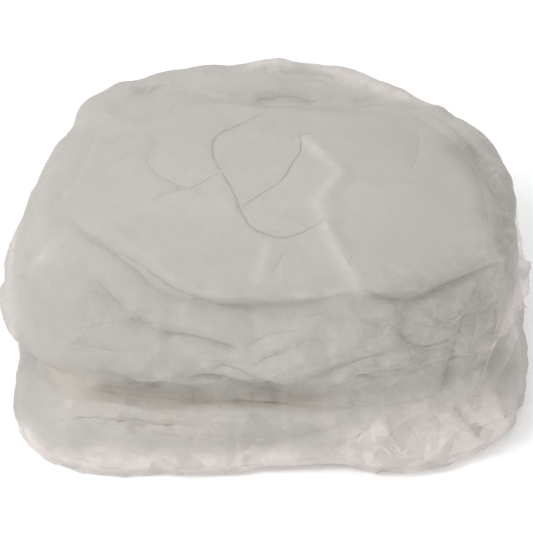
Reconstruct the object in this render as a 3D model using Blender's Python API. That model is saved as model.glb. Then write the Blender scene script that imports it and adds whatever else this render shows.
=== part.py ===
"""Bouffant cap of thin nonwoven cloth, gathered on a round elastic, lying crown up as it was put down.

Metres, +Z up, the front at -Y. The origin is the middle of the footprint, on the surface that the cap lies on.
"""

import math

import bmesh
import bpy
import numpy as np

# Driving sizes
CAP_WIDTH = 0.265  # side to side, at the widest
CAP_DEPTH = 0.238  # front to back
CAP_HEIGHT = 0.098  # to the ridge at the back of the crown
CLOTH_WALL = 0.0012  # the cloth with its fine crumples
NECK_WIDTH = 0.100  # clear opening inside the relaxed hem
ELASTIC_THICKNESS = 0.0024
HEM_CLEARANCE = 0.0004  # between the elastic and the pinched hem
HEM_FULLNESS = 0.0022  # how much wider the casing is between two pinches
GATHERS = 40  # folds of cloth drawn up round the neck
GATHER_RISE = 0.0050  # height of a gather over the surface
GATHER_LENGTH = 0.034  # how far the gathers run out from the hem
ELASTIC_SIDES = 6
FOLD_DEPTH = 0.010
FOLD_WIDTH = 0.010
CORNER_SHARE = 0.6  # the front's squareness is full where a direction points this much forward

# Level lines round the cap, from the middle of the crown down to its foot.
# out: share of half the width (right, left) or half the depth (front, back). up: share of the height.
# square: 2 is an ellipse, more is squarer. rings: sections down to the next line.
LEVEL_COLUMNS = (
    "name", "out_front", "out_right", "out_back", "out_left",
    "up_front", "up_right", "up_back", "up_left", "square_front", "square_back", "rings",
)
LEVELS = (
    ("crown_middle", 0.00, 0.00, 0.00, 0.00, 0.92, 0.92, 0.92, 0.92, 2.0, 2.0, 2),
    ("crown_slope", 0.36, 0.42, 0.38, 0.42, 0.91, 0.90, 0.92, 0.90, 2.0, 2.1, 3),
    ("crown_edge", 0.69, 0.79, 0.76, 0.76, 0.90, 0.88, 0.93, 0.87, 2.2, 2.5, 3),
    ("shoulder", 0.79, 0.91, 0.91, 0.87, 0.83, 0.80, 1.00, 0.78, 2.4, 2.6, 3),
    ("upper_puff", 0.88, 0.96, 0.98, 0.97, 0.62, 0.57, 0.74, 0.56, 2.6, 2.5, 2),
    ("under_puff", 0.89, 0.96, 0.98, 0.99, 0.51, 0.46, 0.50, 0.47, 2.8, 2.5, 2),
    ("crease", 0.87, 0.94, 0.95, 0.95, 0.42, 0.37, 0.36, 0.37, 3.0, 2.5, 2),
    ("roll_top", 0.92, 0.96, 0.96, 0.95, 0.34, 0.28, 0.27, 0.28, 3.4, 2.6, 2),
    ("roll", 1.00, 1.00, 1.00, 0.97, 0.15, 0.14, 0.14, 0.14, 4.0, 2.8, 2),
    ("foot", 0.97, 0.96, 0.95, 0.94, 0.00, 0.00, 0.00, 0.00, 4.2, 3.0, 1),
)

# Folds pressed into the cloth, and bulges and ridges that stand out of it, whose depth is below 0.
# Each runs through places given as direction in degrees and level, 2.5 being half way from crown_edge to
# shoulder. depth and width: shares of FOLD_DEPTH and FOLD_WIDTH.
FOLD_COLUMNS = ("name", "path", "depth", "width")
FOLDS = (
    ("under_crown_edge", ((238, 2.6), (254, 3.25), (274, 3.2), (294, 2.95), (303, 2.7)), 0.6, 0.7),
    ("crown_lip", ((243, 2.3), (256, 2.75), (274, 2.7), (292, 2.45)), -0.25, 0.6),
    ("puff_crease", ((236, 3.2), (246, 3.5), (257, 3.7), (266, 3.85), (271, 3.6)), 0.45, 0.6),
    ("left_slope", ((190, 1.92), (212, 1.75), (226, 1.80), (240, 2.2)), 0.3, 0.6),
    ("left_low_slope", ((219, 2.25), (230, 3.08), (238, 3.33)), 0.3, 0.6),
    ("deep_crease", ((222, 5.9), (240, 5.95), (256, 6.2), (272, 6.4), (287, 6.5), (300, 6.4)), 0.9, 0.8),
    ("right_puff_foot", ((301, 2.65), (310, 3.0), (320, 2.9), (331, 2.85), (340, 3.2)), 0.6, 0.8),
    ("right_arc", ((302, 3.45), (305, 3.75), (311, 4.0), (317, 3.8)), 0.35, 0.6),
    ("back_trough", ((106, 1.85), (90, 1.8), (71, 1.85), (60, 1.9), (48, 2.25)), 0.6, 0.8),
    ("right_valley", ((42, 2.4), (25, 2.3), (11, 2.3), (0, 2.6), (-10, 2.9)), 0.45, 0.8),
    ("left_notch", ((203, 6.2), (213, 6.2), (224, 6.1)), 0.8, 0.7),
    ("left_puff_bulge", ((184, 4.5), (199, 4.8), (214, 4.8)), -0.30, 2.2),
    ("left_corner_bulge", ((212, 8.0), (226, 8.2), (240, 8.0)), -0.5, 2.6),
    ("right_down_fold", ((330, 3.1), (322, 3.9), (317, 5.0), (314, 6.1)), 0.35, 0.7),
    ("back_sag", ((150, 5.6), (120, 6.0), (90, 5.8), (60, 6.0), (30, 5.7)), 0.6, 0.9),
    ("back_fold", ((128, 3.2), (112, 4.2), (100, 4.6)), 0.4, 0.8),
    ("back_left_bulge", ((152, 3.0), (136, 3.0), (120, 3.0)), -0.5, 2.0),
)

# Places along a gather, from where it starts to the hem. along: share of its length. rise: share of its height.
GATHER_COLUMNS = ("along", "rise")
GATHER_LINE = ((0.00, 0.0), (0.35, 0.45), (0.70, 1.0), (1.00, 0.75))
# Where the casing's cloth turns round the elastic, in degrees, from under it to its outer side.
CASING_TURN = (-90, -125, -160, -195, -230, -265, -300, -330)

SIDES = ("front", "right", "back", "left")
LEVEL_ROWS = [dict(zip(LEVEL_COLUMNS, row)) for row in LEVELS]
FOLD_ROWS = [dict(zip(FOLD_COLUMNS, row)) for row in FOLDS]
GATHER_ROWS = [dict(zip(GATHER_COLUMNS, row)) for row in GATHER_LINE]
PINCHED_RADIUS = ELASTIC_THICKNESS / 2 + HEM_CLEARANCE + CLOTH_WALL
CASING_RADIUS = PINCHED_RADIUS + HEM_FULLNESS
ELASTIC_RADIUS = NECK_WIDTH / 2 + CASING_RADIUS  # from the cap's axis to the elastic's middle
SECTIONS = 2 * GATHERS
FOLD_STEPS = 25  # points along a fold
FOLD_FADE = 0.25  # share of a fold's length over which each end fades


def smooth_step(share):
    share = np.clip(share, 0, 1)
    return share * share * (3 - 2 * share)


def side_weights(angle):
    """How much a direction belongs to each side of the cap. They add up to 1."""
    across, along = math.cos(angle), math.sin(angle)
    return {
        "front": max(-along, 0) ** 2,
        "right": max(across, 0) ** 2,
        "back": max(along, 0) ** 2,
        "left": max(-across, 0) ** 2,
    }


def level_point(row, angle):
    """Distance from the cap's axis, and height, of a level line in a direction."""
    across, along = math.cos(angle), math.sin(angle)
    half_x = CAP_WIDTH / 2 * row["out_right" if across > 0 else "out_left"]
    half_y = CAP_DEPTH / 2 * row["out_back" if along > 0 else "out_front"]
    weights = side_weights(angle)
    ahead = smooth_step(-along / CORNER_SHARE)
    power = row["square_front"] * ahead + row["square_back"] * (1 - ahead)
    out = 0.0
    if half_x > 0:
        out = (abs(across / half_x) ** power + abs(along / half_y) ** power) ** (-1 / power)
    up = CAP_HEIGHT * sum(weights[side] * row["up_" + side] for side in SIDES)
    return out, up


def spline(points, places):
    """Points on a smooth curve, where place 2.5 is half way from the third given point to the fourth."""
    points, places = np.array(points), np.array(places)
    ends = np.vstack([2 * points[0] - points[1], points, 2 * points[-1] - points[-2]])
    before = np.minimum(places.astype(int), len(points) - 2)
    a, b, c, d = (ends[before + k] for k in range(4))
    t = (places - before)[:, None]
    return b + ((c - a) * t + (2 * a - 5 * b + 4 * c - d) * t**2 + (3 * b - a - 3 * c + d) * t**3) / 2


def ring_levels():
    """The level of each ring of points, from the middle of the crown to the foot."""
    levels = [i + k / row["rings"] for i, row in enumerate(LEVEL_ROWS[:-1]) for k in range(row["rings"])]
    return levels + [len(LEVEL_ROWS) - 1]


def dome_section(angle, levels):
    """The smooth outer face of the cloth in one direction, as distance and height at each level."""
    section = spline([level_point(row, angle) for row in LEVEL_ROWS], levels)
    section[:, 1] = np.maximum(section[:, 1], 0)  # flattened where it lies
    return section


def fold_line(path):
    """Points on the smooth dome along a fold."""
    share = np.linspace(0, 1, FOLD_STEPS)
    degrees, levels = (np.interp(share, np.linspace(0, 1, len(path)), column) for column in zip(*path))
    return np.array(
        [placed(dome_section(math.radians(turned), [level]), math.radians(turned))[0]
         for turned, level in zip(degrees, levels)]
    )


def fold_depths(points, lines):
    """How far the folds push each point of the dome in."""
    share = np.linspace(0, 1, FOLD_STEPS)
    depths = np.zeros(len(points))
    for row, line in zip(FOLD_ROWS, lines):
        away = np.linalg.norm(points[:, None] - line[None], axis=2)
        ends = smooth_step(np.minimum(share, 1 - share)[away.argmin(axis=1)] / FOLD_FADE)
        across = away.min(axis=1) / (FOLD_WIDTH * row["width"])
        depths += FOLD_DEPTH * row["depth"] * ends * np.exp(-(across**2))
    return depths


def hem_section(fullness):
    """The outer face along a gather and round the elastic. fullness is 0 at a pinch and 1 between two."""
    start = ELASTIC_RADIUS + CASING_RADIUS + GATHER_LENGTH
    gather = [
        (start - GATHER_LENGTH * row["along"], GATHER_RISE * row["rise"] * (1 - fullness))
        for row in GATHER_ROWS
    ]
    radius = PINCHED_RADIUS + HEM_FULLNESS * fullness
    turns = [math.radians(turn) for turn in CASING_TURN]
    casing = [
        (ELASTIC_RADIUS + radius * math.cos(turn), CASING_RADIUS + radius * math.sin(turn))
        for turn in turns
    ]
    return np.array(gather + casing)


def way_in(section):
    """The direction into the cloth at each point of a section of its outer face."""
    ahead = np.gradient(section, axis=0)
    ahead[0] = (1, 0)
    ahead /= np.linalg.norm(ahead, axis=1)[:, None]
    return np.stack([ahead[:, 1], -ahead[:, 0]], axis=1)


def cloth_section(number, lines):
    """The whole outer face in one direction, from the middle of the crown to the end of the casing."""
    angle = section_angle(number)
    dome = dome_section(angle, ring_levels())
    section = np.vstack([dome, hem_section(number % 2)])
    depths = fold_depths(np.array(placed(dome, angle)), lines)
    section[: len(dome)] += depths[:, None] * way_in(section)[: len(dome)]
    section[:, 1] = np.maximum(section[:, 1], 0)
    return section


def section_angle(number):
    return 2 * math.pi * number / SECTIONS


def placed(section, angle):
    """A section's points in space."""
    return [(out * math.cos(angle), out * math.sin(angle), up) for out, up in section]


def add_face_grid(mesh, sections):
    """Quads over sections that all start at one shared point. Gives the last ring of points."""
    middle = mesh.verts.new(sections[0][0])
    columns = [[mesh.verts.new(point) for point in section[1:]] for section in sections]
    for column, following in zip(columns, columns[1:] + columns[:1]):
        mesh.faces.new((middle, column[0], following[0]))
        for k in range(len(column) - 1):
            mesh.faces.new((column[k], column[k + 1], following[k + 1], following[k]))
    return [column[-1] for column in columns]


def make_crown():
    outer, inner = [], []
    lines = [fold_line(row["path"]) for row in FOLD_ROWS]
    for number in range(SECTIONS):
        section = cloth_section(number, lines)
        angle = section_angle(number)
        outer.append(placed(section, angle))
        inner.append(placed(section + CLOTH_WALL * way_in(section), angle))
    mesh = bmesh.new()
    outer_edge = add_face_grid(mesh, outer)
    inner_edge = add_face_grid(mesh, inner)
    for k in range(SECTIONS):
        after = (k + 1) % SECTIONS
        mesh.faces.new((outer_edge[k], inner_edge[k], inner_edge[after], outer_edge[after]))
    bmesh.ops.recalc_face_normals(mesh, faces=mesh.faces)
    return finished("crown", mesh, cloth_material())


def make_elastic():
    mesh = bmesh.new()
    rings = []
    for number in range(SECTIONS):
        angle = section_angle(number)
        turns = [2 * math.pi * k / ELASTIC_SIDES for k in range(ELASTIC_SIDES)]
        section = [
            (
                ELASTIC_RADIUS + ELASTIC_THICKNESS / 2 * math.cos(turn),
                CASING_RADIUS + ELASTIC_THICKNESS / 2 * math.sin(turn),
            )
            for turn in turns
        ]
        rings.append([mesh.verts.new(point) for point in placed(section, angle)])
    for ring, following in zip(rings, rings[1:] + rings[:1]):
        for k in range(ELASTIC_SIDES):
            after = (k + 1) % ELASTIC_SIDES
            mesh.faces.new((ring[k], ring[after], following[after], following[k]))
    bmesh.ops.recalc_face_normals(mesh, faces=mesh.faces)
    return finished("elastic_band", mesh, elastic_material())


def plain_material(name, colour, roughness):
    material = bpy.data.materials.new(name)
    material.use_nodes = True
    shader = material.node_tree.nodes["Principled BSDF"]
    shader.inputs["Base Color"].default_value = (*colour, 1)
    shader.inputs["Roughness"].default_value = roughness
    shader.inputs["Metallic"].default_value = 0.0
    return material


def cloth_material():
    return plain_material("white_nonwoven", (0.72, 0.71, 0.68), 0.8)


def elastic_material():
    return plain_material("covered_elastic", (0.80, 0.78, 0.70), 0.7)


def finished(name, mesh, material):
    data = bpy.data.meshes.new(name)
    mesh.to_mesh(data)
    mesh.free()
    data.materials.append(material)
    data.shade_smooth()
    data.set_sharp_from_angle(angle=math.radians(50))
    made = bpy.data.objects.new(name, data)
    bpy.context.scene.collection.objects.link(made)
    return made


def main():
    for old in list(bpy.data.objects):
        bpy.data.objects.remove(old)
    make_crown()
    make_elastic()


main()
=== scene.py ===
import math

import bpy
import numpy as np
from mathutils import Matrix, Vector
from mathutils.bvhtree import BVHTree


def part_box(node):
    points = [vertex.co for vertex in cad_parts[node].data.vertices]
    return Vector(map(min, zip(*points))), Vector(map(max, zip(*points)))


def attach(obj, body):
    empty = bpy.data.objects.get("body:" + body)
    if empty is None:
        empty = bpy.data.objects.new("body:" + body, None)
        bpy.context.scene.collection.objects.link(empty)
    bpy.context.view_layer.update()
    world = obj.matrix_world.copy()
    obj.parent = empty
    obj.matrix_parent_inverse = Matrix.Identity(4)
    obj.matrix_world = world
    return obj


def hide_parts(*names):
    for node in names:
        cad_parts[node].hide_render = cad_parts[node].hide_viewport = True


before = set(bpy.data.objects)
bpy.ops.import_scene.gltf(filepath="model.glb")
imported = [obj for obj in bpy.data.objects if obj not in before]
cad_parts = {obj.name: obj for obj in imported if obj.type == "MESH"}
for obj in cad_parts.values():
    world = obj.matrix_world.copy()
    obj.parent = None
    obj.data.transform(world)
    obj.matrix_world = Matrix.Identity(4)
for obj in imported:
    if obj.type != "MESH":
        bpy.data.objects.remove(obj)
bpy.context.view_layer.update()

print("frame loaded")

mm = 0.001
low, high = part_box("crown")

studio = {
    "elevation": 35,  # of the camera, in degrees
    "distance": 1.3,
    "aim": (0.0008, -0.0019, 0.0423),
    "framed": 0.2702,  # width of the picture at the aim
    "pixels": 533,
    "floor": (0.98, 0.98, 0.98, 1),
    "world": 0.92,
    "keyPower": 9.0,
    "keyPlace": (-0.95, -0.4, 1.1),
    "keySize": 0.7,
}

# The cloth's main form: level lines from the middle of the crown down to its foot.
# out: shares of half the width (right, left) or half the depth (front, back), up: shares of the height,
# square: 2 is an ellipse and more is squarer.
capForm = {
    "width": high.x - low.x,
    "depth": high.y - low.y,
    "height": high.z,
    "neckRadius": 50 * mm,
    "casingRadius": 5.0 * mm,
    "columns": ("name", "outFront", "outRight", "outBack", "outLeft",
                "upFront", "upRight", "upBack", "upLeft", "squareFront", "squareBack"),
    "levels": (
        ("crownMiddle", 0.00, 0.00, 0.00, 0.00, 0.92, 0.92, 0.92, 0.92, 2.0, 2.0),
        ("crownSlope", 0.36, 0.42, 0.38, 0.42, 0.91, 0.90, 0.92, 0.90, 2.0, 2.1),
        ("crownEdge", 0.69, 0.79, 0.76, 0.76, 0.90, 0.88, 0.93, 0.87, 2.2, 2.5),
        ("shoulder", 0.79, 0.91, 0.91, 0.87, 0.83, 0.80, 1.00, 0.78, 2.4, 2.6),
        ("upperPuff", 0.88, 0.96, 0.98, 0.97, 0.62, 0.57, 0.74, 0.56, 2.6, 2.5),
        ("underPuff", 0.89, 0.96, 0.98, 0.99, 0.51, 0.46, 0.50, 0.47, 2.8, 2.5),
        ("crease", 0.87, 0.94, 0.95, 0.95, 0.42, 0.37, 0.36, 0.37, 3.0, 2.5),
        ("rollTop", 0.92, 0.96, 0.96, 0.95, 0.34, 0.28, 0.27, 0.28, 3.4, 2.6),
        ("roll", 0.98, 1.00, 1.00, 0.97, 0.09, 0.10, 0.12, 0.10, 4.0, 2.8),
        ("foot", 0.96, 0.97, 0.95, 0.95, 0.00, 0.00, 0.00, 0.00, 4.2, 3.0),
    ),
}
footLevel = len(capForm["levels"]) - 1
neckLevel = footLevel + 1  # from here the cloth turns round the elastic

# Folds, each along places given as (direction in degrees, level). depth is how far it goes in, and below 0
# it stands out. above and below: how wide it is on the side of the crown and on the other side.
foldColumns = ("name", "depth", "above", "below", "path")
folds = (
    ("underCrownEdge", 4, 1.4, 8, ((200, 1.8), (213, 1.8), (222, 1.8), (232, 1.93), (241, 2.17),
        (248, 2.41), (255, 2.72), (263, 2.76), (277, 2.71), (289, 2.49), (298, 2.46), (303, 2.6))),
    ("crownLip", -1.2, 9, 1, ((205, 1.7), (222, 1.7), (232, 1.8), (241, 2.05), (248, 2.3), (255, 2.6),
        (263, 2.65), (277, 2.6), (289, 2.4), (298, 2.35))),
    ("puffCrease", 3, 1.2, 5, ((230, 3.09), (234, 3.3), (238, 3.37), (242, 3.48), (248, 3.49), (256, 3.61),
        (264, 3.79))),
    ("leftSlope", 3, 5, 2, ((190, 1.92), (212, 1.75), (226, 1.8), (240, 2.2))),
    ("leftLowSlope", 1.2, 1.2, 5, ((216, 2.5), (220, 2.62), (225, 2.9), (230, 3.09), (235, 3.3))),
    ("deepCrease", 4.5, 7, 2.6, ((208, 6.95), (220, 6.82), (230, 6.52), (240, 6.54), (254, 6.58),
        (268, 6.65), (279, 6.8), (289, 6.87), (299, 6.82), (312, 6.74))),
    ("secondCrease", 1, 1.2, 5, ((232, 7.2), (250, 7.3), (272, 7.4), (290, 7.4))),
    ("crownRidge", -1.4, 3, 12, ((61, 1.17), (18, 0.75), (-13, 0.58), (-49, 1), (-58, 1.58), (-60, 2.3))),
    ("lobeFootFold", 3.5, 1.2, 7, ((292, 2.47), (298, 2.46), (303, 2.74), (308, 2.95), (312, 2.98),
        (319, 2.89), (325, 2.9), (332, 2.97), (338, 3.18), (346, 3.3))),
    ("rightArc", 0.8, 5, 2, ((301, 3.3), (305, 3.75), (311, 4), (317, 3.8), (322, 3.4))),
    ("backTrough", 6, 4, 8, ((106, 1.85), (90, 1.8), (71, 1.85), (60, 1.9), (48, 2.25))),
    ("rightValley", 3.5, 7, 3, ((42, 2.4), (25, 2.3), (11, 2.3), (0, 2.6), (-10, 2.9))),
    ("leftNotch", 7.5, 7, 7, ((162, 6.3), (186, 6.4), (202, 6.8), (212, 6.8), (226, 6.6))),
    ("leftPuffBulge", -3, 14, 14, ((186, 4.6), (200, 4.8), (214, 5))),
    ("leftFootCut", 7, 11, 11, ((168, 8.1), (184, 8), (197, 8), (212, 8))),
    ("leftCornerBulge", -3.5, 26, 26, ((212, 8), (226, 8.2), (240, 8))),
    ("rightDownFold", 1.5, 5, 7, ((330, 3.1), (324, 3.9), (320, 5), (318, 5.6))),
    ("backSag", 6, 9, 9, ((150, 5.6), (120, 6), (90, 5.8), (60, 6), (30, 5.7))),
    ("backFold", 4, 8, 4, ((128, 3.2), (112, 4.2), (100, 4.6))),
    ("backLeftBulge", -3.5, 14, 14, ((146, 3), (138, 2.9), (130, 2.9), (122, 2.9))),
    ("leftShoulderCut", 7, 14, 18, ((137, 3.2), (147, 3.2), (154, 3.4), (160, 3.7), (167, 4.2),
        (180, 4.6))),
    ("rightShoulder", -4.5, 12, 14, ((36, 3.1), (28, 3.1), (20, 3.15), (10, 3.2), (0, 3.3))),
    ("frontFootCut", 4.5, 16, 12, ((254, 8.6), (267, 8.6), (280, 8.6), (292, 8.6), (302, 8.6))),
    ("rightCornerCut", 3, 12, 10, ((300, 8.5), (311, 8.5), (322, 8.4), (331, 8.35), (336, 8.3))),
    ("backRightCut", 1.5, 10, 10, ((70, 3), (58, 3), (44, 3), (32, 3))),
    ("backTop", 1.5, 9, 9, ((105, 3), (100, 3), (95, 3), (88, 2.95))),
)
foldPaths = {row[0]: row[-1] for row in folds}
foldFade = 0.35  # share of a fold's length over which each end fades
lineFade = 0.18  # the same for the creases below

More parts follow.
